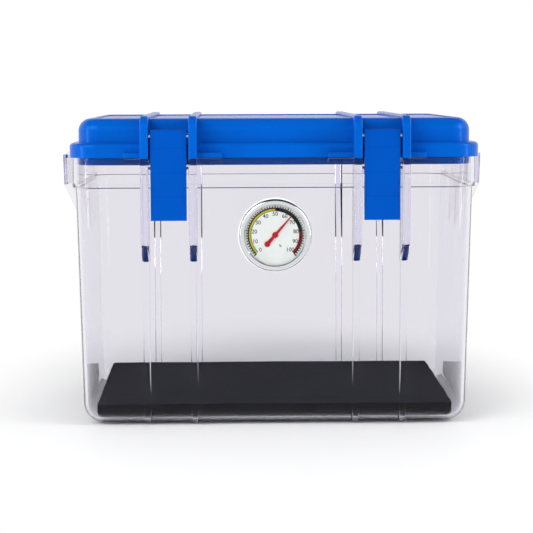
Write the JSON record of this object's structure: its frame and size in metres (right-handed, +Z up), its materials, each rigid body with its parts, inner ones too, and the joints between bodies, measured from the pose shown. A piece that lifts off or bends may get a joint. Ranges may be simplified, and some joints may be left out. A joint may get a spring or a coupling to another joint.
{
  "type": "dry box",
  "caption": "Clear storage box with a hinged, sealed and latched lid, a dial humidity gauge, a foam pad and a desiccant tray under the lid.",
  "frame": {"origin": "under the middle of the box, on the surface it stands on", "axes": "+X along the long side to the right as seen from the latches, +Y from the latches to the hinges, +Z up"},
  "size_m": [0.3296, 0.248, 0.2345],
  "materials": {
    "clear_plastic": "clear polished moulding",
    "blue_plastic": "satin moulding",
    "charcoal_foam": "open-cell foam, matt",
    "seal_rubber": "matt",
    "steel": "drawn wire, bright",
    "black_plastic": "matt",
    "bright_chrome": "polished",
    "white_rubber": "smooth",
    "dial_card": "printed, satin",
    "clear_lens": "clear flat glass",
    "brass": "rolled strip",
    "red_enamel": "gloss enamel",
    "sachet_paper": "woven-look paper"
  },
  "bodies": {
    "tub": {"tub": "clear_plastic", "foam_pad": "charcoal_foam", "hinge_pin_left": "steel", "hinge_pin_right": "steel", "hygrometer_case": "black_plastic", "hygrometer_bezel": "bright_chrome", "hygrometer_gasket": "white_rubber", "hygrometer_nut": "black_plastic", "dial": "dial_card", "hygrometer_lens": "clear_lens", "hygrometer_back": "black_plastic", "movement_bridge": "brass", "humidity_coil": "brass"},
    "lid": {"lid_shell": "blue_plastic", "lid_seal": "seal_rubber", "latch_pin_left": "steel", "latch_pin_right": "steel", "desiccant_tray": "blue_plastic", "tray_screws": "steel", "desiccant_pack": "sachet_paper"},
    "latch_left": {"latch_left": "blue_plastic"},
    "latch_right": {"latch_right": "blue_plastic"},
    "needle": {"needle": "red_enamel", "needle_arbor": "brass"},
    "desiccant_cover": {"desiccant_cover": "blue_plastic"}
  },
  "joints": [
    {"name": "lid_hinge", "type": "hinge", "parent": "tub", "child": "lid", "pos_m": [0, 0.118, 0.197], "axis": [-1, 0, 0], "range_deg": [0, 105]},
    {"name": "latch_left_hinge", "type": "hinge", "parent": "lid", "child": "latch_left", "pos_m": [-0.0785, -0.116, 0.2198], "axis": [-1, 0, 0], "range_deg": [0, 170]},
    {"name": "latch_right_hinge", "type": "hinge", "parent": "lid", "child": "latch_right", "pos_m": [0.0785, -0.116, 0.2198], "axis": [-1, 0, 0], "range_deg": [0, 170]},
    {"name": "needle_turn", "type": "hinge", "parent": "tub", "child": "needle", "pos_m": [0, -0.10343, 0.1456], "axis": [0, 0.9997, 0.0248], "range_deg": [-175.7, 94.3], "stiffness_Nm_per_rad": 0.00002},
    {"name": "desiccant_cover_slide", "type": "slide", "parent": "lid", "child": "desiccant_cover", "axis": [1, 0, 0], "range_m": [0, 0.06]}
  ]
}
